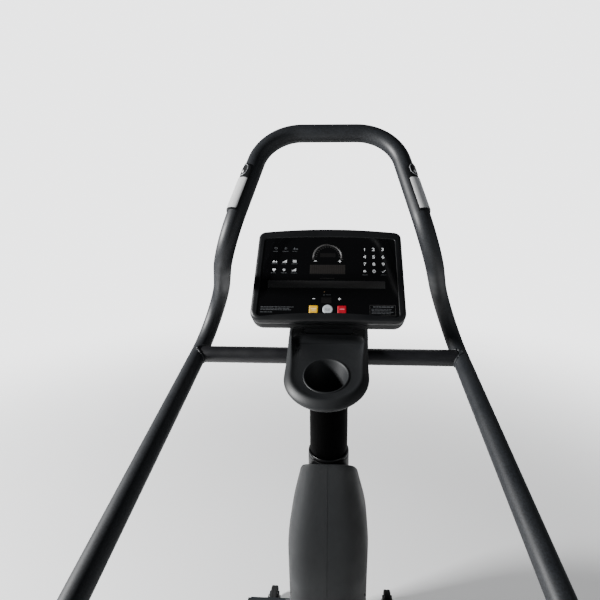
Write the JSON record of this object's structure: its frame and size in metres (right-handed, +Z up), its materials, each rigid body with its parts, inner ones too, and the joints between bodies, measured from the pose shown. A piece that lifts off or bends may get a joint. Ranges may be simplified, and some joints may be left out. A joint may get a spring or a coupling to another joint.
{
  "type": "stair climber",
  "caption": "Pedal stair climber with a bent tubular handrail, console and cup holder on a mast, and sprung pedal arms driving an alternator by chain.",
  "frame": {"origin": "centre of the footprint on the floor, under the machine", "axes": "+Z up, the user stands on the -Y side facing +Y, +X to the user's right"},
  "size_m": [0.78, 1.24, 1.7365],
  "materials": {
    "powder_coat": "satin powder coat",
    "black_paint": "satin black paint",
    "dark_plastic": "fine moulded grain",
    "grey_plastic": "fine moulded grain",
    "screen": "gloss black printed overlay",
    "steel": "brushed",
    "rubber": "matt",
    "circuit_board": "solder mask",
    "alternator_case": "cast",
    "yellow_key": "satin",
    "silver_key": "satin",
    "red_key": "satin"
  },
  "bodies": {
    "root": {"base_beam": "powder_coat", "rear_crossmember": "powder_coat", "front_crossmember": "powder_coat", "tower_frame": "powder_coat", "handrail_hoop": "powder_coat", "crossbar": "powder_coat", "left_rear_leg": "powder_coat", "right_rear_leg": "powder_coat", "mast": "black_paint", "rail_bracket": "black_paint", "cup_holder_tray": "dark_plastic", "console_neck": "dark_plastic", "console_bezel": "dark_plastic", "console_back_shell": "dark_plastic", "rear_left_end_cap": "dark_plastic", "rear_right_end_cap": "dark_plastic", "front_left_end_cap": "dark_plastic", "front_right_end_cap": "dark_plastic", "left_pulse_housing": "dark_plastic", "right_pulse_housing": "dark_plastic", "left_shroud": "grey_plastic", "right_shroud": "grey_plastic", "display_overlay": "screen", "pivot_axle": "steel", "left_pulse_plate": "steel", "right_pulse_plate": "steel", "left_shaft_bearing": "steel", "right_shaft_bearing": "steel", "left_drive_chain": "steel", "right_drive_chain": "steel", "left_return_chain": "steel", "right_return_chain": "steel", "left_return_spring": "steel", "right_return_spring": "steel", "mast_collar": "rubber", "drive_belt": "rubber", "rear_left_foot": "rubber", "rear_right_foot": "rubber", "front_left_foot": "rubber", "front_right_foot": "rubber", "console_circuit_board": "circuit_board", "alternator_body": "alternator_case"},
    "left_arm": {"left_pedal_arm": "powder_coat"},
    "left_pedal_body": {"left_pedal": "dark_plastic", "left_pedal_pad": "rubber"},
    "left_link": {"left_levelling_link": "black_paint"},
    "left_sprocket_body": {"left_sprocket": "steel"},
    "left_wheel": {"left_transport_wheel": "rubber"},
    "right_arm": {"right_pedal_arm": "powder_coat"},
    "right_pedal_body": {"right_pedal": "dark_plastic", "right_pedal_pad": "rubber"},
    "right_link": {"right_levelling_link": "black_paint"},
    "right_sprocket_body": {"right_sprocket": "steel"},
    "right_wheel": {"right_transport_wheel": "rubber"},
    "drive_train": {"drive_shaft": "steel", "drive_pulley": "steel"},
    "rotor": {"alternator_rotor": "steel"},
    "yellow_key_body": {"yellow_key": "yellow_key"},
    "round_key_body": {"round_key": "silver_key"},
    "red_key_body": {"red_key": "red_key"}
  },
  "joints": [
    {"name": "left_arm_pivot", "type": "hinge", "parent": "root", "child": "left_arm", "pos_m": [-0.135, 0.42, 0.19], "axis": [1, 0, 0], "range_deg": [0, 30], "stiffness_Nm_per_rad": 30, "springref_deg": -57.3, "deforming": ["left_drive_chain", "left_return_chain", "left_return_spring"]},
    {"name": "left_pedal_pivot", "type": "hinge", "parent": "left_arm", "child": "left_pedal_body", "pos_m": [-0.135, -0.16004, 0.46048], "axis": [1, 0, 0], "range_deg": [-30, 0]},
    {"name": "left_link_pivot", "type": "hinge", "parent": "root", "child": "left_link", "pos_m": [-0.135, 0.42, 0.13], "axis": [1, 0, 0], "range_deg": [0, 30]},
    {"name": "left_sprocket_spin", "type": "hinge", "parent": "root", "child": "left_sprocket_body", "pos_m": [-0.088, 0.325, 0.54], "axis": [1, 0, 0], "range_deg": [0, 133.7]},
    {"name": "right_arm_pivot", "type": "hinge", "parent": "root", "child": "right_arm", "pos_m": [0.135, 0.42, 0.19], "axis": [1, 0, 0], "range_deg": [0, 30], "stiffness_Nm_per_rad": 30, "springref_deg": -57.3, "deforming": ["right_drive_chain", "right_return_chain", "right_return_spring"]},
    {"name": "right_pedal_pivot", "type": "hinge", "parent": "right_arm", "child": "right_pedal_body", "pos_m": [0.135, -0.16004, 0.46048], "axis": [1, 0, 0], "range_deg": [-30, 0]},
    {"name": "right_link_pivot", "type": "hinge", "parent": "root", "child": "right_link", "pos_m": [0.135, 0.42, 0.13], "axis": [1, 0, 0], "range_deg": [0, 30]},
    {"name": "right_sprocket_spin", "type": "hinge", "parent": "root", "child": "right_sprocket_body", "pos_m": [0.088, 0.325, 0.54], "axis": [1, 0, 0], "range_deg": [0, 133.7]},
    {"name": "drive_shaft_spin", "type": "hinge", "parent": "root", "child": "drive_train", "pos_m": [0, 0.325, 0.54], "axis": [1, 0, 0], "continuous": true},
    {"name": "alternator_spin", "type": "hinge", "parent": "root", "child": "rotor", "pos_m": [0.04, 0.455, 0.33], "axis": [1, 0, 0], "continuous": true},
    {"name": "left_wheel_spin", "type": "hinge", "parent": "root", "child": "left_wheel", "pos_m": [-0.22, 0.585, 0.044], "axis": [1, 0, 0], "continuous": true},
    {"name": "right_wheel_spin", "type": "hinge", "parent": "root", "child": "right_wheel", "pos_m": [0.22, 0.585, 0.044], "axis": [1, 0, 0], "continuous": true},
    {"name": "yellow_key_press", "type": "slide", "parent": "root", "child": "yellow_key_body", "axis": [0, 0.7513, -0.66], "range_m": [0, 0.001], "stiffness_N_per_m": 600, "springref_m": -0.0005},
    {"name": "round_key_press", "type": "slide", "parent": "root", "child": "round_key_body", "axis": [0, 0.7513, -0.66], "range_m": [0, 0.001], "stiffness_N_per_m": 600, "springref_m": -0.0005},
    {"name": "red_key_press", "type": "slide", "parent": "root", "child": "red_key_body", "axis": [0, 0.7513, -0.66], "range_m": [0, 0.001], "stiffness_N_per_m": 600, "springref_m": -0.0005}
  ],
  "couplings": [
    {"joint": "left_pedal_pivot", "follows": "left_arm_pivot", "ratio": -1},
    {"joint": "left_link_pivot", "follows": "left_arm_pivot", "ratio": 1},
    {"joint": "left_sprocket_spin", "follows": "left_arm_pivot", "ratio": 4.441},
    {"joint": "right_pedal_pivot", "follows": "right_arm_pivot", "ratio": -1},
    {"joint": "right_link_pivot", "follows": "right_arm_pivot", "ratio": 1},
    {"joint": "right_sprocket_spin", "follows": "right_arm_pivot", "ratio": 4.441},
    {"joint": "alternator_spin", "follows": "drive_shaft_spin", "ratio": 5.1111}
  ]
}
